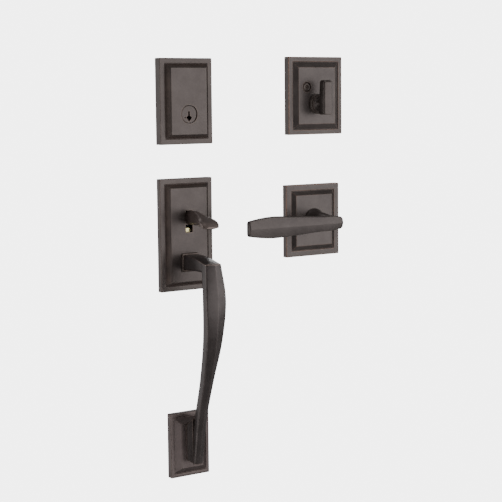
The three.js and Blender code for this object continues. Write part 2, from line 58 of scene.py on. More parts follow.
DEADBOLT = plate(0, 155, 70.2, 99.4, 6.0, 10.7, 5.2, 17.0)
HANDLE = plate(0, 0, 70.8, 132.0, 6.0, 7.1, 4.8, 12.8)
LOWER = plate(0, -250.4, 52.8, 77.4, 4.5, 7.6, 6.8, 12.7)
TURN = plate(186, 159.8, 80.8, 94.8, 5.8, 8.9, 6.8, 12.0)
LEVER = plate(182.3, 6.5, 80.4, 89.2, 7.5, 7.2, 5.4, 10.0)
WALL = 1.8  # thickness of the cast covers

KEY_Z = 140.0
KEY_FACE = -16.2
NECK_Z = -32.0
PIVOT_Y = -8.0
PIVOT_Z = 20.0
TURN_Z = TURN["z"] - 10.1
SCREW_SPREAD = 15.2
SCREWS = {"left": TURN["x"] - SCREW_SPREAD, "right": TURN["x"] + SCREW_SPREAD}
SCREW_Z = TURN_Z + 20.8

KEY_PLACE = (0, 0, KEY_Z)
NECK_PLACE = (0, 0, NECK_Z)
STUD_PLACE = (0, 0, LOWER["z"])
TURN_PLACE = (TURN["x"], 0, TURN_Z)
LEVER_PLACE = (LEVER["x"], 0, LEVER["z"])

# Sections of the pull from its foot to its top: height, half-width, back, corner and ridge stand-off.
GRIP = [
    (-271, 5.8, -21.6, -26.8, -28.6), (-216, 6.0, -27.6, -37.0, -39.8), (-168, 7.0, -41.8, -52.2, -56.0),
    (-116, 10.9, -56.5, -67.0, -71.0), (-68, 13.3, -60.9, -70.9, -74.7), (-29.8, 10.3, -54.5, -65.6, -69.6),
]

# Sections of the pull's neck: stand-off, half-width, top, how far its crown rises above that, and bottom.
NECK = [
    (-64, 10.2, -29.7, 0.9, -44), (-56, 10.2, -28.0, 1.3, -40.6), (-44, 9.9, -25.4, 1.3, -39.8),
    (-29, 9.5, -23.4, 1.1, -40.2), (-13.1, 9.5, -22.8, 0.2, -41),
]

# Sections of the pull's foot: stand-off, half-width, top and bottom.
FOOT = [(-24.5, 6.0, -216, -270), (-16.5, 7.4, -222.5, -268.6), (-13.0, 8.4, -225, -268)]

# Sections of the thumb piece: stand-off, top and side half-width, keel, low, shoulder and crown heights.
THUMB = [
    (-62.6, 5.0, 8.6, 10.6, 11.4, 12.6, 13.2), (-61.4, 6.4, 10.2, 10.0, 11.4, 14.2, 15.4),
    (-58.5, 7.2, 11.2, 10.0, 12.2, 16.8, 18.2), (-54, 7.0, 11.2, 10.6, 13.4, 19.0, 20.6),
    (-49, 6.2, 10.2, 11.4, 14.4, 20.6, 22.6), (-42, 5.0, 8.2, 12.2, 15.2, 22.0, 24.2),
    (-35, 3.7, 6.2, 12.5, 15.2, 23.4, 26.2), (-28, 2.9, 4.9, 12.4, 15.0, 24.8, 28.5),
    (-20, 2.5, 4.1, 12.4, 15.0, 24.8, 28.4), (-10.6, 2.4, 3.9, 12.6, 15.2, 24.2, 27.8),
]

# Sections of the lever from tip to heel: reach, half-height, back, corner and ridge stand-off.
BLADE = [
    (-127.3, 9.3, -53.4, -59.0, -60.6), (-113.7, 11.3, -52.6, -59.4, -61.6),
    (-97.7, 12.7, -51.6, -59.6, -62.2), (-64.7, 11.4, -49.8, -59.4, -62.0),
    (-28.7, 9.3, -48.2, -58.8, -61.0), (1.3, 8.0, -47.4, -58.0, -59.8),
    (5.8, 7.2, -48.2, -57.8, -59.4), (8.5, 5.2, -49.4, -57.0, -58.2), (9.5, 3.4, -50.4, -56.2, -57.2),
]


# ---------------------------------------------------------------- outlines and skins

def loft(rings, closed=False):
    """Skin through rings of equal point counts, capped at both ends or joined up: (verts, faces)."""
    count = len(rings[0])
    verts = [p for ring in rings for p in ring]
    faces = []
    for r in range(len(rings) if closed else len(rings) - 1):
        this = r * count
        following = (r + 1) % len(rings) * count
        for i in range(count):
            j = (i + 1) % count
            faces.append((this + i, this + j, following + j, following + i))
    if not closed:
        last = (len(rings) - 1) * count
        faces.append(tuple(reversed(range(count))))
        faces.append(tuple(last + i for i in range(count)))
    return verts, faces


def turned(profile, sides):
    """Solid of revolution about the Y axis from (radius, y) points: a solid if they start and end on the
    axis, a ring if they stay clear of it."""
    verts, faces, rows = [], [], []
    for radius, y in profile:
        if radius < 1e-6:
            rows.append([len(verts)])
            verts.append((0, y, 0))
        else:
            rows.append(list(range(len(verts), len(verts) + sides)))
            verts += [(x, y, z) for x, z in circle(radius, sides)]
    neighbours = list(zip(rows, rows[1:]))
    if len(rows[0]) > 1:
        neighbours.append((rows[-1], rows[0]))
    for first, second in neighbours:
        for i in range(sides):
            j = (i + 1) % sides
            if len(first) == 1:
                faces.append((first[0], second[i], second[j]))
            elif len(second) == 1:
                faces.append((first[i], second[0], first[j]))
            else:
                faces.append((first[i], second[i], second[j], first[j]))
    return verts, faces


def circle(radius, sides):
    angles = [2 * math.pi * i / sides for i in range(sides)]
    return [(radius * math.cos(a), radius * math.sin(a)) for a in angles]


def rounded_corner(before, corner, after, radius, steps):
    """Points of a curve that takes off a corner; it uses less than half of either side."""
    back = before - corner
    ahead = after - corner
    start = corner + back.normalized() * min(radius, back.length * 0.45)
    end = corner + ahead.normalized() * min(radius, ahead.length * 0.45)
    places = [s / steps for s in range(steps + 1)]
    return [start * (1 - t) ** 2 + corner * 2 * t * (1 - t) + end * t * t for t in places]


def eased(points, radii, steps=4):
    """A closed outline with each corner rounded off by its radius."""
    corners = [Vector(p) for p in points]
    out = []
    for i, radius in enumerate(radii):
        out += rounded_corner(corners[i - 1], corners[i], corners[(i + 1) % len(corners)], radius, steps)
    return out


def eased_profile(points, steps):
    """An open list of (a, b, easing) points with its inner corners rounded off: (a, b) points."""
    corners = [Vector(p[:2]) for p in points]
    out = [points[0][:2]]
    for i in range(1, len(points) - 1):
        radius = points[i][2]
        if radius > 0:
            curve = rounded_corner(corners[i - 1], corners[i], corners[i + 1], radius, steps)
            out += [tuple(p) for p in curve]
        else:
            out.append(points[i][:2])
    out.append(points[-1][:2])
    return out


def smooth(stations, key, along):
    """Value of one column of a station list at a place along it, on a smooth curve."""
    xs = [s[0] for s in stations]
    ys = [s[key] for s in stations]
    i = max(0, min(len(xs) - 2, sum(1 for x in xs if x <= along) - 1))
    h = xs[i + 1] - xs[i]
    t = max(0.0, min(1.0, (along - xs[i]) / h))

    def slope(k):
        if k == 0:
            return (ys[1] - ys[0]) / (xs[1] - xs[0])
        if k == len(xs) - 1:
            return (ys[-1] - ys[-2]) / (xs[-1] - xs[-2])
        left = (ys[k] - ys[k - 1]) / (xs[k] - xs[k - 1])
        right = (ys[k + 1] - ys[k]) / (xs[k + 1] - xs[k])
        ahead, behind = xs[k + 1] - xs[k], xs[k] - xs[k - 1]
        return (left * ahead + right * behind) / (ahead + behind)

    a = 2 * t ** 3 - 3 * t ** 2 + 1
    b = t ** 3 - 2 * t ** 2 + t
    c = -2 * t ** 3 + 3 * t ** 2
    d = t ** 3 - t ** 2
    return a * ys[i] + b * slope(i) * h + c * ys[i + 1] + d * slope(i + 1) * h


def section_at(stations, along):
    """The section's sizes at a place along the stations."""
    return [smooth(stations, key, along) for key in range(1, len(stations[0]))]


def evenly(stations, steps):
    """Even places from the first station to the last, each with the sizes of its section."""
    first, last = stations[0][0], stations[-1][0]
    places = [first + (last - first) * i / steps for i in range(steps + 1)]
    return [(place, section_at(stations, place)) for place in places]


def about_centre(ring, scale):
    """A ring of points scaled about its own centre: (centre, points)."""
    points = [Vector(p) for p in ring]
    centre = sum(points, Vector()) / len(points)
    return centre, [centre + (p - centre) * scale for p in points]


def block(x0, x1, y0, y1, z0, z1, ease=0.0):
    corners = [(x0, z0), (x1, z0), (x1, z1), (x0, z1)]
    outline = eased(corners, [ease] * 4) if ease else [Vector(c) for c in corners]
    return loft([[(p.x, y, p.y) for p in outline] for y in (y0, y1)])


# ---------------------------------------------------------------- pieces

def solid(name, shape, origin=(0, 0, 0)):
    """A loose closed mesh from (verts, faces), given in millimetres about origin."""
    verts, faces = shape
    ox, oy, oz = origin
    mesh = bpy.data.meshes.new(name)
    mesh.from_pydata([((x + ox) * MM, (y + oy) * MM, (z + oz) * MM) for x, y, z in verts], [], faces)
    mesh.validate()
    obj = bpy.data.objects.new(name, mesh)
    bpy.context.scene.collection.objects.link(obj)
    work = bmesh.new()
    work.from_mesh(mesh)
    bmesh.ops.recalc_face_normals(work, faces=work.faces)
    work.to_mesh(mesh)
    work.free()
    return obj


def piece(name, shape, body, node, paint, origin=(0, 0, 0)):
    """A solid of the set itself: it rides a body, stands for a CAD node and has a finish."""
    obj = solid(name, shape, origin)
    obj.data.materials.append(paint)
    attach(obj, body)
    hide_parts(node)
    return obj


def shape_with(obj, tools, operation):
    """Joins loose solids to obj, or cuts them from it, and removes them."""
    for tool in tools:
        mod = obj.modifiers.new(operation.lower(), "BOOLEAN")
        mod.operation = operation
        mod.solver = "EXACT"
        mod.object = tool
        bpy.context.view_layer.update()
        graph = bpy.context.evaluated_depsgraph_get()
        made = bpy.data.meshes.new_from_object(obj.evaluated_get(graph))
        obj.modifiers.remove(mod)
        old = obj.data
        obj.data = made
        bpy.data.meshes.remove(old)
        bpy.data.objects.remove(tool, do_unlink=True)


def join(obj, *shapes, origin=(0, 0, 0)):
    shape_with(obj, [solid("tool", shape, origin) for shape in shapes], "UNION")


def cut(obj, *shapes, origin=(0, 0, 0)):
    shape_with(obj, [solid("tool", shape, origin) for shape in shapes], "DIFFERENCE")


def soften(obj, crease=CREASE):
    """Smooth shading that keeps real edges crisp."""
    mesh = obj.data
    mesh.polygons.foreach_set("use_smooth", [True] * len(mesh.polygons))
    mesh.set_sharp_from_angle(angle=crease)
    mesh.update()


def bore(radius, front, back):
    return turned([(0, front), (radius, front), (radius, back), (0, back)], 72)


def lipped_bore(radius, front, back, mouth, lip):
    """A bore whose edge is taken off where it opens at the surface that stands mouth off the door."""
    wide = radius + lip + 0.6
    edge = [(wide, mouth - 0.6), (radius, mouth + lip)]
    return turned([(0, front), (wide, front), *edge, (radius, back), (0, back)], 72)


# ---------------------------------------------------------------- finishes

class Field:
    """A value carried by a socket; arithmetic on it adds the nodes that work it out."""

    def __init__(self, nodes, socket):
        self.nodes = nodes
        self.socket = socket

    def _math(self, operation, first, second):
        return self.nodes.node("ShaderNodeMath", {"operation": operation}, {0: first, 1: second})[0]

    def __add__(self, other):
        return self._math("ADD", self, other)

    def __radd__(self, other):
        return self._math("ADD", other, self)

    def __sub__(self, other):
        return self._math("SUBTRACT", self, other)

    def __rsub__(self, other):
        return self._math("SUBTRACT", other, self)

    def __mul__(self, other):
        return self._math("MULTIPLY", self, other)

    def __rmul__(self, other):
        return self._math("MULTIPLY", other, self)


class Outputs:
    """A made node, whose outputs are read by name or place."""

    def __init__(self, nodes, made):
        self.nodes = nodes
        self.made = made

    def __getitem__(self, key):
        return Field(self.nodes, self.made.outputs[key])


class Nodes:
    """The emptied node tree of a material or a world, filled one node at a time."""

    def __init__(self, owner):
        owner.use_nodes = True
        self.tree = owner.node_tree
        self.tree.nodes.clear()

    def put(self, socket, value):
        if isinstance(value, Field):
            self.tree.links.new(value.socket, socket)
        else:
            socket.default_value = value

    def node(self, kind, settings=None, inputs=None):
        """A node of any type: its settings first, then its sockets."""
        made = self.tree.nodes.new(kind)
        for key, value in (settings or {}).items():
            setattr(made, key, value)
        for key, value in (inputs or {}).items():
            self.put(made.inputs[key], value)
        return Outputs(self, made)


class Paint(Nodes):
    """One finish, built on a single principled shader."""

    def __init__(self, name):
        self.material = bpy.data.materials.new(name)
        super().__init__(self.material)
        self.shader = self.node("ShaderNodeBsdfPrincipled")
        self.node("ShaderNodeOutputMaterial", {}, {0: self.shader[0]})

    def set(self, **inputs):
        for key, value in inputs.items():
            self.put(self.shader.made.inputs[key.replace("_", " ")], value)
        return self.material

    def vector(self, operation, first, second):
        return self.node("ShaderNodeVectorMath", {"operation": operation}, {0: first, 1: second})[0]

    def place(self):
        """Position on the piece, in metres."""
        return self.node("ShaderNodeTexCoord")["Object"]

    def noise(self, where, scale, detail, roughness):
        return self.node("ShaderNodeTexNoise", {}, {
            "Vector": where, "Scale": scale, "Detail": detail, "Roughness": roughness,
        })["Fac"]

    def spread(self, value, low, high, to_low=0.0, to_high=1.0):
        """Maps low..high to another range, smoothly and clamped."""
        return self.node("ShaderNodeMapRange", {"interpolation_type": "SMOOTHSTEP"}, {
            "Value": value, "From Min": low, "From Max": high, "To Min": to_low, "To Max": to_high,
        })[0]

    def blend(self, amount, first, second):
        return self.node("ShaderNodeMix", {"data_type": "RGBA"}, {"Factor": amount, 6: first, 7: second})[2]

    def relief(self, height, distance, strength):
        return self.node("ShaderNodeBump", {}, {
            "Height": height, "Distance": distance, "Strength": strength,
        })[0]

    def edge_wear_and_highlight(self, reach):
        """1 on outside edges and corners, where handling thins the finish.

        The same mask also carries painted highlights along edges.
        """
        inner = self.node(
            "ShaderNodeAmbientOcclusion", {"samples": 8, "inside": True, "only_local": True},
            {"Distance": reach},
        )["AO"]
        return self.spread(1 - inner, 0.03, 0.32)

    def away_from(self, where, x, z):
        """0.15 at a sheltered spot on a cover, such as a screw pocket, rising to 1 away from it."""
        offset = self.vector("SUBTRACT", where, (x * MM, 0, z * MM))
        across = self.vector("MULTIPLY", offset, (1, 0, 1))
        length = self.node("ShaderNodeVectorMath", {"operation": "LENGTH"}, {0: across})["Value"]
        return self.spread(length, 7.5 * MM, 10 * MM, 0.15, 1.0)


def aged_bronze(name, deep, body, worn_and_highlight_colour, wear_and_highlight_strength, roughness, sheltered=()):
    """Dark chemically aged bronze: mottled brown, satin, rubbed through to copper on the edges, where the
    same edge colour can also paint highlights along edges.

    deep and body are the deep and the general brown of the coating, the worn colour is the metal it wears
    through to and also the colour of painted edge highlights, the wear strength is how strongly, and
    sheltered lists the (x, z) of spots that handling doesn't reach."""
    paint = Paint(name)
    where = paint.place()
    cloud = paint.noise(where, 55.0, 5.0, 0.55)
    fleck = paint.noise(where, 900.0, 3.0, 0.6)
    grain = paint.noise(paint.vector("MULTIPLY", where, (1.0, 1.0, 0.12)), 2600.0, 2.0, 0.5)
    tone = paint.spread(cloud * 0.75 + fleck * 0.25, 0.32, 0.68)
    colour = paint.blend(tone, (*deep, 1), (*body, 1))
    # Edge mask: real rubbed-through wear, and painted highlight along edges where a finish's edge colour is
    # light.
    rubbed_and_highlit = paint.edge_wear_and_highlight(1.5 * MM) * paint.spread(cloud + fleck * 0.4, 0.42, 0.85, 0.25, 1.0) * wear_and_highlight_strength
    for x, z in sheltered:
        rubbed_and_highlit = rubbed_and_highlit * paint.away_from(where, x, z)
    return paint.set(
        Base_Color=paint.blend(rubbed_and_highlit, colour, (*worn_and_highlight_colour, 1)), Metallic=0.6,
        Roughness=roughness + (cloud - 0.5) * 0.16 + (fleck - 0.5) * 0.10 - rubbed_and_highlit * 0.06,
        Specular_IOR_Level=0.5, Coat_Weight=0.12, Coat_Roughness=0.28,
        Normal=paint.relief(fleck * 0.6 + grain * 0.4, 0.05 * MM, 0.5),
    )


def plain_metal(name, dark, light, roughness, brushed):
    """Bare or plated metal with fine tool marks, drawn out along brushed, and slight staining."""
    paint = Paint(name)
    where = paint.place()
    stain = paint.noise(where, 120.0, 5.0, 0.6)
    marks = paint.noise(paint.vector("MULTIPLY", where, brushed), 1400.0, 3.0, 0.6)
    tone = paint.spread(stain * 0.7 + marks * 0.3, 0.3, 0.7)
    return paint.set(
        Base_Color=paint.blend(tone, (*dark, 1), (*light, 1)), Metallic=0.95,
        Roughness=roughness + (marks - 0.5) * 0.2 + (stain - 0.5) * 0.15,
        Normal=paint.relief(marks, 0.04 * MM, 0.5),
    )


def cast_zinc(name):
    """Die-cast zinc as it comes from the mould: grey, pebbled, dull."""
    paint = Paint(name)
    where = paint.place()
    pebble = paint.noise(where, 1100.0, 4.0, 0.6)
    flow = paint.noise(where, 90.0, 4.0, 0.5)
    tone = paint.spread(flow, 0.3, 0.7)
    return paint.set(
        Base_Color=paint.blend(tone, (0.20, 0.21, 0.22, 1), (0.34, 0.35, 0.36, 1)), Metallic=0.9,
        Roughness=0.48 + (flow - 0.5) * 0.2,
        Normal=paint.relief(pebble, 0.09 * MM, 0.6),
    )


OUTSIDE = aged_bronze(
    "aged_bronze_outside", (0.066, 0.052, 0.048), (0.093, 0.075, 0.070), (0.17, 0.115, 0.092), 0.45, 0.37,
)
INSIDE = aged_bronze(
    "aged_bronze_inside", (0.066, 0.053, 0.050), (0.094, 0.077, 0.072), (0.42, 0.19, 0.10), 0.55, 0.37,
    [(x, SCREW_Z) for x in SCREWS.values()],
)
# Lighter copy of the bronze for the lower cover: painted light, standing in for more light falling on it.
LOW_BRONZE_LIT = aged_bronze(
    "aged_bronze_lower_lit", (0.085, 0.063, 0.060), (0.118, 0.092, 0.088), (0.19, 0.135, 0.110), 0.5, 0.40,
)
# The pull's light grey-brown edge colour at high strength paints highlight lines along its arrises and
# ridge, on top of edge wear.
GRIP_BRONZE_EDGE_HIGHLIT = aged_bronze(
    "aged_bronze_grip_edge_highlit", (0.056, 0.045, 0.043), (0.080, 0.066, 0.064), (0.26, 0.19, 0.165), 0.8, 0.33,
)
LEVER_BRONZE = aged_bronze(
    "aged_bronze_lever", (0.062, 0.050, 0.047), (0.088, 0.072, 0.068), (0.15, 0.095, 0.075), 0.4, 0.37,
)
# Lighter copy of the bronze for the thumb piece: painted light, standing in for the light on its lobe.
THUMB_BRONZE_LIT = aged_bronze(
    "aged_bronze_thumb_lit", (0.115, 0.086, 0.078), (0.150, 0.118, 0.108), (0.19, 0.14, 0.115), 0.3, 0.42,
)
DARK = aged_bronze(
    "dark_bronze", (0.050, 0.039, 0.035), (0.078, 0.061, 0.055), (0.15, 0.108, 0.088), 0.4, 0.35,
)
BRASS = plain_metal("bare_brass", (0.62, 0.54, 0.24), (0.84, 0.77, 0.42), 0.30, (1, 1, 0.1))
STEEL = plain_metal("zinc_plated_steel", (0.36, 0.37, 0.37), (0.56, 0.57, 0.56), 0.33, (1, 1, 0.08))
ZINC = cast_zinc("cast_zinc")


# ---------------------------------------------------------------- covers

GROOVE = 0.85  # depth of the line between border and bevel
IN_FRONT = -30  # clear of every cover's panel
IN_HOLLOW = -5  # past the panel's wall, inside the hollow
PAST_DOOR = 3  # just behind the door's face


def cover_ring(width, height, inset, y, radius):
    """A rectangle set in by inset, with rounded corners and even points along its sides."""
    arc_steps, side_steps = 5, 7
    x, z = width / 2 - inset - radius, height / 2 - inset - radius
    corners = []
    for k, (cx, cz) in enumerate([(-x, -z), (x, -z), (x, z), (-x, z)]):
        angles = [math.pi / 2 * (k + 2 + i / arc_steps) for i in range(arc_steps + 1)]
        corners.append([(cx + radius * math.cos(a), cz + radius * math.sin(a)) for a in angles])
    out = []
    for corner, following in zip(corners, corners[1:] + corners[:1]):
        (x0, z0), (x1, z1) = corner[-1], following[0]
        places = [i / side_steps for i in range(1, side_steps)]
        side = [(x0 + (x1 - x0) * t, z0 + (z1 - z0) * t) for t in places]
        out += [(x, y, z) for x, z in corner + side]
    return out


def cover_piece(name, cover, node, paint):
    """Cast cover: rounded rim, flat border, groove, mitred bevel and raised panel, hollow behind."""
    edge, panel = cover["edge"], cover["panel"]
    groove = cover["border"]
    bevel = groove + cover["run"]
    flat = bevel + 3.0
    # Each corner of the section: inset from the outline, stand-off from the door, easing.
    front = eased_profile([
        (0, 0, 0), (0, -edge, 0.9), (groove, -edge, 0.35),
        (groove + 0.45, -edge + GROOVE, 0.2), (groove + 0.95, -edge + GROOVE - 0.1, 0.2),
        (bevel, -panel + 0.25, 0.3), (bevel + 0.3, -panel, 0.25), (flat, -panel, 0),
    ], 4)
    hollow = [
        (flat, -panel + WALL), (bevel + 0.6, -panel + WALL),
        (groove + 1.2, -edge + WALL + GROOVE), (WALL, -edge + WALL + GROOVE), (WALL, 0),
    ]
    rings = []
    for inset, y in hollow + front:
        radius = max(1.1 - inset * 0.06, 0.35)
        rings.append(cover_ring(cover["width"], cover["height"], inset, y, radius))
    return piece(name, loft(rings), "trims", node, paint, (cover["x"], 0, cover["z"]))


def deadbolt_cover():
    cover = cover_piece("deadbolt_cover", DEADBOLT, "deadbolt_escutcheon", OUTSIDE)
    cut(cover, lipped_bore(10.7, IN_FRONT, IN_HOLLOW, -DEADBOLT["panel"], 0.1), origin=KEY_PLACE)
    soften(cover, COVER_CREASE)


def handle_cover():
    """It has the thumb piece's slot and the bore for the screw into the pull's neck."""
    cover = cover_piece("handle_cover", HANDLE, "handle_escutcheon", OUTSIDE)
    cut(cover, block(-4.6, 4.6, IN_FRONT, IN_HOLLOW, 3, 28.6, 0.7))
    cut(cover, bore(2.8, IN_FRONT, IN_HOLLOW), origin=NECK_PLACE)
    soften(cover, COVER_CREASE)


def lower_cover():
    cover = cover_piece("lower_cover", LOWER, "lower_escutcheon", LOW_BRONZE_LIT)
    cut(cover, bore(3.3, IN_FRONT, IN_HOLLOW), origin=STUD_PLACE)
    soften(cover, COVER_CREASE)


def lever_cover():
    cover = cover_piece("lever_cover", LEVER, "lever_rose", INSIDE)
    cut(cover, bore(10.3, IN_FRONT, PAST_DOOR), origin=LEVER_PLACE)
    soften(cover, COVER_CREASE)


def thumbturn_cover():
    """Each of its screws sits in a pocket, with a boss behind the panel."""
    cover = cover_piece("thumbturn_cover", TURN, "thumbturn_rose", INSIDE)
    pockets = [(x, 0, SCREW_Z) for x in SCREWS.values()]
    for place in pockets:
        join(cover, turned([(0, -11.2), (7.4, -11.2), (7.4, -6.8), (0, -6.8)], 48), origin=place)
    cut(cover, bore(7.4, IN_FRONT, PAST_DOOR), origin=TURN_PLACE)
    for place in pockets:
        cut(cover, lipped_bore(5.9, IN_FRONT, -10, -TURN["panel"], -0.3), origin=place)
        cut(cover, bore(2.9, IN_FRONT, PAST_DOOR), origin=place)
    soften(cover, COVER_CREASE)


# ---------------------------------------------------------------- outside deadbolt

def cylinder_ring():
    front, back = -14.2, 8.8
    profile = [(8.7, back), (8.7, front), (10.2, front), (10.2, back)]
    ring = piece("cylinder_ring", turned(profile, 96), "trims", "cylinder_body", DARK, KEY_PLACE)
    soften(ring)


def key_plug():
    """Its face has a warded keyway and a small round hole beside it; its tail takes a flat bar."""
    profile = eased_profile([
        (0, KEY_FACE, 0), (10.2, KEY_FACE, 0.75), (10.2, -14.5, 0.1), (8.4, -14.5, 0.1),
        (8.4, 6, 0.1), (4.6, 6, 0.1), (4.6, 8.8, 0.2), (0, 8.8, 0),
    ], 4)
    skin = turned(profile, 96)
    plug = piece("key_plug_face", skin, "plug", "key_plug", OUTSIDE, KEY_PLACE)
    clear = KEY_FACE - 1
    floor = KEY_FACE + 13.5
    broad = [(-3.8, -3.6), (-1.8, -6.3), (1.6, -6.6), (3.8, -3.8), (0.7, -1.2), (-1.3, -1.4)]
    outline = eased(broad, [0.6] * len(broad))
    ward = loft([[(p.x, y, p.y) for p in outline] for y in (clear, floor - 0.5)])
    tail_slot = block(-1.2, 1.2, 5.8, 9.8, -3.3, 3.3)
    cut(plug, block(-1.2, 0.9, clear, floor, -8.0, 3.4, 0.5), ward, tail_slot, origin=KEY_PLACE)
    tool_hole = turned([(0, clear), (0.9, clear), (0.9, KEY_FACE + 4), (0, KEY_FACE + 4)], 20)
    cut(plug, tool_hole, origin=(-5.3, 0, KEY_Z - 3.9))
    soften(plug)


# ---------------------------------------------------------------- outside pull

def bar_outline(half, back, corner, ridge, shoulder):
    """Section of a bar with two front facets: shoulder is the easing of its front corners."""
    flat = [(-half, back), (-half, corner), (0, ridge), (half, corner), (half, back)]
    return eased(flat, [2.2, shoulder, 0.8, shoulder, 2.2], 5)


def grip_bar():
    rings = []
    for z, sizes in evenly(GRIP, 96):
        rings.append([(p.x, p.y, z) for p in bar_outline(*sizes, 1.7)])
    return loft(rings)


def grip_neck():
    rings = []
    for y, (half, top, crown, bottom) in evenly(NECK, 40):
        corners = [(-half, top), (0, top + crown), (half, top), (half, bottom), (-half, bottom)]
        rings.append([(p.x, y, p.y) for p in eased(corners, [0.8, 5.0, 0.8, 3.4, 3.4], 6)])
    return loft(rings)


def grip_foot():
    rings = []
    for y, (half, top, bottom) in evenly(FOOT, 12):
        corners = [(-half, bottom), (half, bottom), (half, top), (-half, top)]
        rings.append([(p.x, y, p.y) for p in eased(corners, [0.8] * 4, 3)])
    return loft(rings)


def pull_grip():
    """Bar, neck and foot in one casting, bored for the stud below and for the screw behind the neck."""
    grip = piece("pull_grip", grip_bar(), "trims", "grip_handle", GRIP_BRONZE_EDGE_HIGHLIT)
    join(grip, grip_neck(), grip_foot())
    cut(grip, bore(3.3, -20, IN_HOLLOW), origin=STUD_PLACE)
    cut(grip, bore(2.75, -27, IN_HOLLOW), origin=NECK_PLACE)
    soften(grip)


def pull_collar():
    """Rectangular collar round the root of the neck."""
    levels = [(0, -13.1), (0, -14.1), (0.5, -14.9), (1.4, -15.3), (1.8, -15.3), (1.8, -13.1)]
    rings = [cover_ring(22.6, 21.8, inset, y, 2.2 - inset * 0.6) for inset, y in levels]
    skin = loft(rings, closed=True)
    collar = piece("pull_collar", skin, "trims", "grip_collar", OUTSIDE, NECK_PLACE)
    soften(collar)


def thumb_lever():
    """Thumb piece: a saddle to press on, a thin waist, a cheek round the pin and a tail behind it."""
    rings = []
    for y, (top, side, keel, low, shoulder, crown) in evenly(THUMB, 84):
        under = side * 0.35
        corners = [
            (-under, keel), (under, keel), (side, low), (side, shoulder),
            (top, crown), (-top, crown), (-side, shoulder), (-side, low),
        ]
        outline = eased(corners, [1.0, 1.0, 0.9, 0.8, 1.6, 1.6, 0.8, 0.9], 5)
        rings.append([(p.x, y, p.y) for p in outline])
    _, nose = about_centre(rings[0], 0.82)
    tip = [(p.x, p.y - 0.8, p.z) for p in nose]
    skin = loft([tip] + rings)
    thumb = piece("thumb_lever", skin, "thumb", "thumb_piece", THUMB_BRONZE_LIT)
    cheek = block(-3.9, 3.9, -10.8, -5.9, 13.5, 24, 0.5)
    tail = block(-3.9, 3.9, -7, 3, 11.5, 15.5, 0.5)
    join(thumb, cheek, tail)
    cut(thumb, loft([[(x, PIVOT_Y + u, PIVOT_Z + v) for u, v in circle(1.8, 32)] for x in (-10, 10)]))
    soften(thumb)


# ---------------------------------------------------------------- inside deadbolt

def turn_collar():
    profile = eased_profile([
        (7.4, -12.3, 0), (12.1, -12.3, 0.1), (12.1, -13.6, 0.4), (11.3, -14.0, 0.2),
        (11.1, -14.7, 0.2), (10.4, -14.9, 0.2), (10.2, -15.4, 0.2), (7.4, -15.4, 0),
    ], 3)
    skin = turned(profile, 96)
    collar = piece("turn_collar", skin, "trims", "thumbturn_collar", DARK, TURN_PLACE)
    soften(collar)


def paddle():
    """Its back leans forward, its top falls away, and both flanks are eased."""
    side_view = [(-23, -12.8), (-35.8, -12.8), (-35.8, 27.0), (-33.4, 29.2), (-25.4, 28.5)]
    middle = -30
    # Slices from a flank to the middle: half-width, how far the outline shrinks, and how far its top drops.
    flank = [(6.3, 1.4, 2.2), (6.0, 0.7, 1.2), (5.4, 0.25, 0.5), (4.3, 0, 0.1)]
    slices = [(-x, inset, drop) for x, inset, drop in flank] + list(reversed(flank))
    rings = []
    for x, inset, drop in slices:
        corners = []
        for y, z in side_view:
            height = z - inset - drop if z > 0 else z + inset
            corners.append((y + math.copysign(inset, middle - y), height))
        rings.append([(x, p.x, p.y) for p in eased(corners, [1.4, 1.2, 1.5, 2.2, 1.2], 5)])
    return loft(rings)


def turn_paddle():
    stem = eased_profile([
        (0, -6.4, 0), (7, -6.4, 0.1), (7, -15.7, 0.1), (10, -15.7, 0.1), (10, -16.9, 0.5),
        (8.9, -17.4, 0.2), (8.7, -18.2, 0.3), (7.4, -18.7, 0.3), (6.6, -19.8, 1.5), (5.6, -24.6, 0.2),
        (0, -24.6, 0),
    ], 3)
    turn = piece("turn_paddle", turned(stem, 72), "turn", "thumbturn", OUTSIDE, TURN_PLACE)
    join(turn, paddle(), origin=TURN_PLACE)
    soften(turn)


def cover_screw(side):
    """Domed screw with a cross recess."""
    profile = eased_profile([
        (0, -12.15, 0), (4.2, -12.05, 2.0), (5.2, -11.2, 0.7), (5.3, -10.3, 0.1),
        (2.5, -10.3, 0.1), (2.5, 24, 0.4), (0, 24, 0),
    ], 4)
    skin = turned(profile, 48)
    node = "rose_screw_" + side
    place = (SCREWS[side], 0, SCREW_Z)
    screw = piece("cover_screw_" + side, skin, "trims", node, DARK, place)
    arm, width, floor = 2.6, 0.5, -10.9
    across = block(-arm, arm, -14, floor, -width, width)
    upright = block(-width, width, -14, floor, -arm, arm)
    cut(screw, across, upright, origin=place)
    soften(screw)


# ---------------------------------------------------------------- inside lever

def lever_end(first):
    """Rings of the low dome that ends the lever; its back runs on further than its front."""
    rings = []
    for i in range(6, 0, -1):
        swell = i / 7
        centre, ring = about_centre(first, 0.25 + 0.75 * math.sqrt(1 - swell * swell))
        rings.append([(p.x - (1.7 + 0.30 * (p.y - centre.y)) * swell, p.y, p.z) for p in ring])
    return rings


def lever_bar():
    rings = []
    steps = 110
    tip, heel = BLADE[0][0], BLADE[-1][0]
    for i in range(steps + 1):
        x = tip + (heel - tip) * (1 - (1 - i / steps) ** 1.25)  # closer together towards the heel
        rings.append([(x, p.y, p.x) for p in bar_outline(*section_at(BLADE, x), 1.2)])
    return loft(lever_end(rings[0]) + rings)


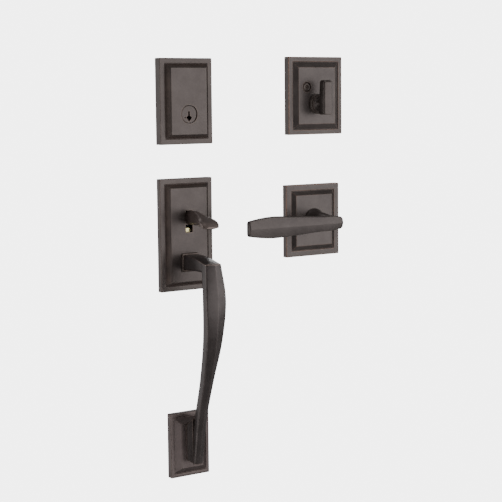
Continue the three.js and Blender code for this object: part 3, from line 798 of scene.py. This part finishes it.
def door_lever():
    """Bar and flared neck in one casting, recessed for the bushing, bored for spindle and set screw."""
    lever = piece("door_lever", lever_bar(), "lever", "lever_handle", LEVER_BRONZE, LEVER_PLACE)
    neck = eased_profile([
        (0, 2.2, 0), (7.2, 2.2, 0.2), (7.2, -14.4, 0), (10.2, -14.4, 0), (10.2, -10.3, 0.1),
        (14.5, -10.3, 0.1), (14.5, -11.6, 0.5), (13.6, -12.9, 0.6), (12.6, -15.4, 1.5), (11.3, -20.4, 3),
        (10, -30, 3), (8.2, -42, 3), (7.4, -50, 0.5), (0, -50, 0),
    ], 4)
    join(lever, turned(neck, 96), origin=LEVER_PLACE)
    spindle_bore = block(-4.1, 4.1, -34.4, 4, -4.1, 4.1)
    screw_bore = loft([[(u, v - 20, z) for u, v in circle(2.8, 32)] for z in (-19.5, -3.5)])
    cut(lever, spindle_bore, screw_bore, origin=LEVER_PLACE)
    soften(lever)


# ---------------------------------------------------------------- mechanism, kept from the frame

MECHANISM = {
    STEEL: [
        "deadbolt_mounting_plate", "plug_clip", "deadbolt_post_left", "deadbolt_post_right",
        "handle_mounting_plate", "handle_post_left", "handle_post_right", "thumb_pivot_pin",
        "thumb_return_spring", "hub_clip", "grip_top_screw",
        "lower_backing_plate", "lower_stud", "lower_nut",
        "thumbturn_backing_plate", "thumbturn_clip", "thumbturn_spindle", "thumbturn_washer",
        "lever_backing_plate", "lever_return_spring", "lever_bolt_left", "lever_bolt_right",
        "lever_spindle", "lever_retaining_ring", "lever_set_screw",
    ],
    ZINC: [
        "cylinder_housing", "tailpiece", "latch_case", "lift_slide", "lever_spring_housing",
        "lever_return_cam",
    ],
    BRASS: ["latch_hub", "lever_bushing"],
}


def finish_mechanism():
    """Bare metal with slightly broken edges for everything behind the covers."""
    for metal, names in MECHANISM.items():
        for name in names:
            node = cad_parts[name]
            node.data.materials.clear()
            node.data.materials.append(metal)
            edges = node.modifiers.new("eased edges", "BEVEL")
            edges.width = 0.18 * MM
            edges.segments = 2
            edges.limit_method = "ANGLE"
            edges.angle_limit = math.radians(40)


# ---------------------------------------------------------------- floor, light and camera

WHITE_GLOW = 5.0  # how brightly floor and backdrop show, so that both read as the same pale ground
FELT_GLOW = 0.20  # how brightly the backdrop lights the metal
FLOOR_Z = -0.95  # the set hangs on a door, well above the floor
FLOOR_REACH = 12
MIDDLE = (0.09, 0, -0.03)


def seen_apart(nodes, output, felt, seen):
    """Ends a tree so that the metal is lit by felt, while the camera sees the brighter ground."""
    camera_ray = nodes.node("ShaderNodeLightPath")["Is Camera Ray"]
    ground = nodes.node("ShaderNodeMixShader", {}, {0: camera_ray, 1: felt, 2: seen})[0]
    nodes.node(output, {}, {0: ground})


def pale_floor():
    material = bpy.data.materials.new("pale_floor")
    nodes = Nodes(material)
    felt = nodes.node("ShaderNodeBsdfDiffuse", {}, {"Color": (0.45, 0.45, 0.45, 1)})[0]
    seen = nodes.node("ShaderNodeEmission", {}, {"Strength": WHITE_GLOW})[0]
    seen_apart(nodes, "ShaderNodeOutputMaterial", felt, seen)
    mesh = bpy.data.meshes.new("floor")
    corners = [(-1, -1), (1, -1), (1, 1), (-1, 1)]
    mesh.from_pydata([(x * FLOOR_REACH, y * FLOOR_REACH, FLOOR_Z) for x, y in corners], [], [(0, 1, 2, 3)])
    mesh.materials.append(material)
    floor = bpy.data.objects.new("floor", mesh)
    bpy.context.scene.collection.objects.link(floor)


def backdrop():
    world = bpy.data.worlds.new("studio")
    bpy.context.scene.world = world
    nodes = Nodes(world)
    white = (1, 1, 1, 1)
    felt = nodes.node("ShaderNodeBackground", {}, {"Color": white, "Strength": FELT_GLOW})[0]
    seen = nodes.node("ShaderNodeBackground", {}, {"Color": white, "Strength": WHITE_GLOW})[0]
    seen_apart(nodes, "ShaderNodeOutputWorld", felt, seen)


def softbox(name, place, aim, width, height, watts):
    light = bpy.data.lights.new(name, "AREA")
    light.shape = "RECTANGLE"
    light.size = width
    light.size_y = height
    light.energy = watts
    obj = bpy.data.objects.new(name, light)
    bpy.context.scene.collection.objects.link(obj)
    obj.location = place
    obj.visible_camera = False
    obj.rotation_euler = (Vector(aim) - Vector(place)).to_track_quat("-Z", "Y").to_euler()


def camera():
    yaw, pitch, roll = math.radians(33.49), math.radians(6.51), math.radians(-0.55)
    forward = Vector((math.sin(yaw) * math.cos(pitch), math.cos(yaw) * math.cos(pitch), -math.sin(pitch)))
    level = Vector((math.cos(yaw), -math.sin(yaw), 0))
    upright = level.cross(forward)
    right = level * math.cos(roll) + upright * math.sin(roll)
    up = upright * math.cos(roll) - level * math.sin(roll)
    data = bpy.data.cameras.new("camera")
    data.sensor_width = 36
    data.lens = 98.4
    data.clip_start = 0.01
    obj = bpy.data.objects.new("camera", data)
    bpy.context.scene.collection.objects.link(obj)
    matrix = Matrix((right, up, -forward)).transposed().to_4x4()
    matrix.translation = Vector((-0.8192, -1.3809, 0.1621))
    obj.matrix_world = matrix
    bpy.context.scene.camera = obj


# ---------------------------------------------------------------- the set

deadbolt_cover()
handle_cover()
lower_cover()
lever_cover()
thumbturn_cover()
cylinder_ring()
key_plug()
pull_grip()
pull_collar()
thumb_lever()
turn_collar()
turn_paddle()
cover_screw("left")
cover_screw("right")
door_lever()
finish_mechanism()

pale_floor()
backdrop()
softbox("front_light", (0.95, -1.95, -0.15), MIDDLE, 2.75, 2.6, 42)
softbox("right_light", (1.7, -0.7, 0.1), MIDDLE, 0.8, 1.2, 4.5)
softbox("left_rear_light", (-1.15, 1.55, -0.25), MIDDLE, 1.6, 1.8, 7.5)
softbox("left_light", (-1.6, 0.5, -0.1), MIDDLE, 0.8, 1.5, 8)
softbox("low_left_light", (-0.91, -0.55, -0.58), (0, 0, -0.25), 0.5, 0.5, 1.6)
softbox("rear_light", (1.3, 1.45, 0.6), MIDDLE, 0.5, 0.4, 1.8)
softbox("high_rear_light", (0.12, 0.95, 1.5), MIDDLE, 0.6, 0.6, 3)
softbox("top_light", (0.2, -0.6, 1.7), MIDDLE, 0.9, 0.5, 3)
camera()
